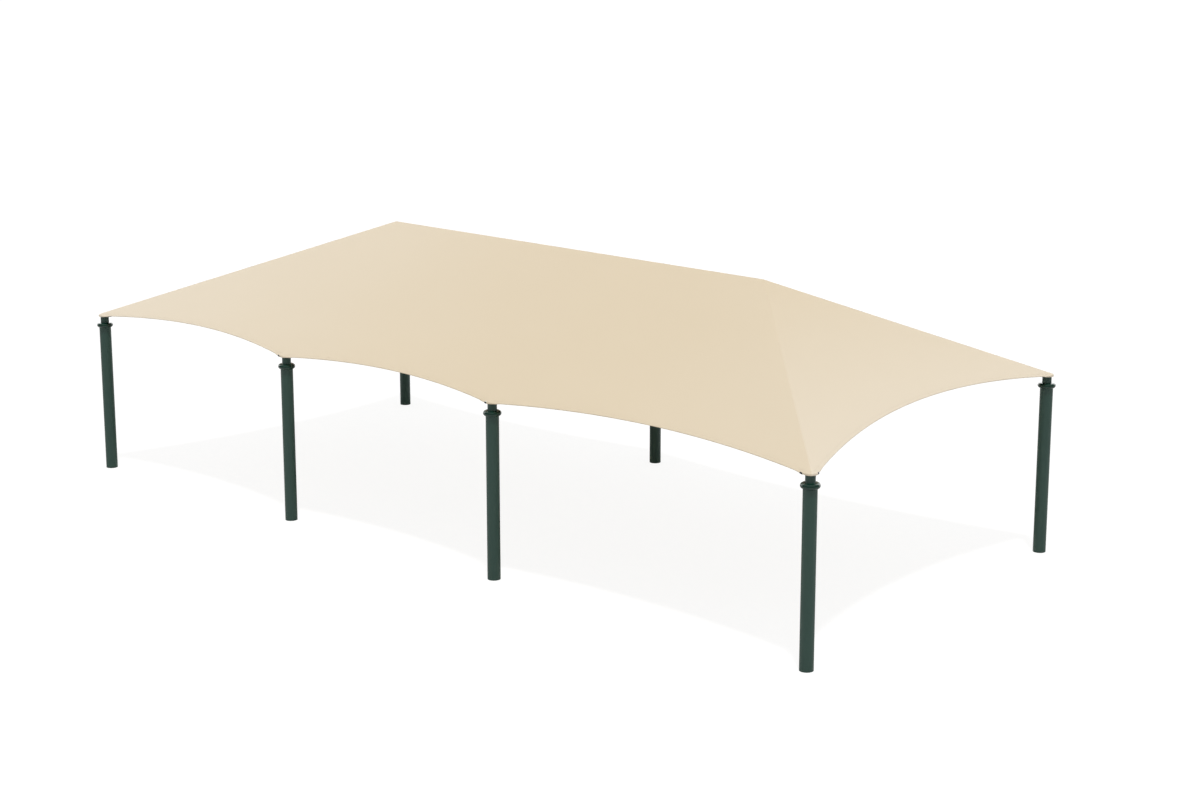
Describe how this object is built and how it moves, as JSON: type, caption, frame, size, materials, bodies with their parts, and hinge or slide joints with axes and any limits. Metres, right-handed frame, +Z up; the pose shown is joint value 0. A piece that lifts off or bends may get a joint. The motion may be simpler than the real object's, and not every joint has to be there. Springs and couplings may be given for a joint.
{
  "type": "hip shade structure",
  "caption": "Hip-roof shade structure: round steel posts with collars carry a pipe frame and a tensioned fabric canopy with scalloped cable edges.",
  "frame": {"origin": "on the ground in the middle of the structure's plan, half way between the two post rows", "axes": "+X along the ridge and the post rows, to the right seen from the longer row of posts; +Y from that front row to the back row; +Z up"},
  "size_m": [17.324, 7.724, 4.8592],
  "materials": {
    "post_green": "dark green powder coat, satin",
    "frame_green": "dark green powder coat, satin",
    "cable_steel": "galvanised stranded cable",
    "shade_fabric": "beige knitted shade cloth"
  },
  "bodies": {
    "root": {"canopy_back": "shade_fabric", "canopy_front": "shade_fabric", "canopy_left": "shade_fabric", "canopy_right": "shade_fabric", "collar_back_1": "post_green", "collar_back_2": "post_green", "collar_back_3": "post_green", "collar_front_1": "post_green", "collar_front_2": "post_green", "collar_front_3": "post_green", "collar_front_4": "post_green", "head_back_1": "post_green", "head_back_2": "post_green", "head_back_3": "post_green", "head_front_1": "post_green", "head_front_2": "post_green", "head_front_3": "post_green", "head_front_4": "post_green", "hip_rafter_back_left": "frame_green", "hip_rafter_back_right": "frame_green", "hip_rafter_front_left": "frame_green", "hip_rafter_front_right": "frame_green", "mid_rafter_back": "frame_green", "mid_rafter_front_left": "frame_green", "mid_rafter_front_right": "frame_green", "perimeter_cable": "cable_steel", "post_back_1": "post_green", "post_back_2": "post_green", "post_back_3": "post_green", "post_front_1": "post_green", "post_front_2": "post_green", "post_front_3": "post_green", "post_front_4": "post_green", "ridge_beam": "frame_green", "ridge_drum_left": "frame_green", "ridge_drum_right": "frame_green"}
  },
  "joints": []
}
